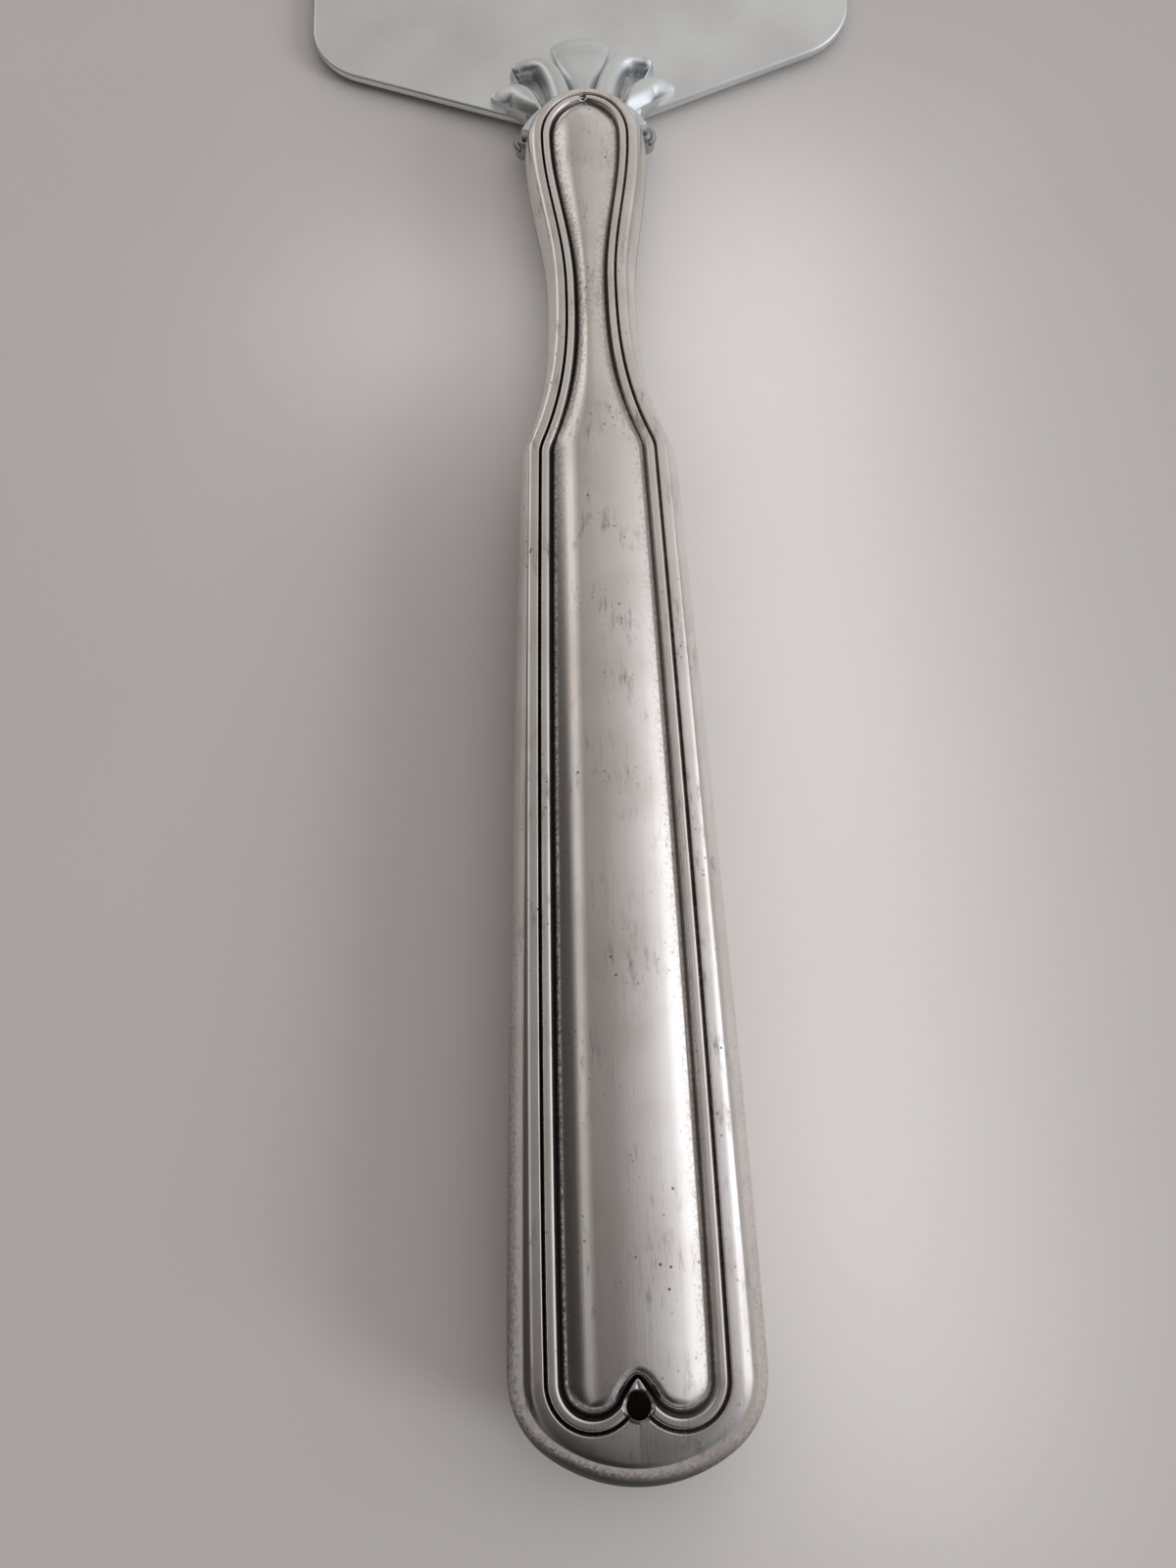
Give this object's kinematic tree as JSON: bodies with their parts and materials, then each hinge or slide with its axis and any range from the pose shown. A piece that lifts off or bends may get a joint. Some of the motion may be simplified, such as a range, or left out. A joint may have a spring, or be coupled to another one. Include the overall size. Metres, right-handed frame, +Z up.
{
  "type": "cake server",
  "caption": "Silver cake server: a flat blade with rounded corners that lifts a slice, a cast palmette shell and a hollow fiddle handle with a thread border.",
  "frame": {"origin": "middle of the bounding box, on the table that the server lies on", "axes": "+Y runs from the butt of the handle to the tip of the blade, +X to the right, +Z up from the table"},
  "size_m": [0.0598, 0.2676, 0.0108],
  "materials": {
    "struck_silver": "polished old silver, fine scratches, dark tarnish in the grooves",
    "silver_solder": "dull silver solder, flush with the edge",
    "plain_steel": "plain drawn steel, out of sight",
    "cement": "matt brown filling cement, out of sight",
    "cast_silver": "cast silver, polished on the crests and darker in the valleys",
    "rolled_silver": "satin rolled silver, pale, with a bright bevel along the base"
  },
  "bodies": {
    "root": {"upper_handle_shell": "struck_silver", "lower_handle_shell": "struck_silver", "solder_seam": "silver_solder", "mouth_plate": "plain_steel", "handle_core": "cement", "tang": "plain_steel", "shell_bolster": "cast_silver", "blade": "rolled_silver"}
  },
  "joints": []
}
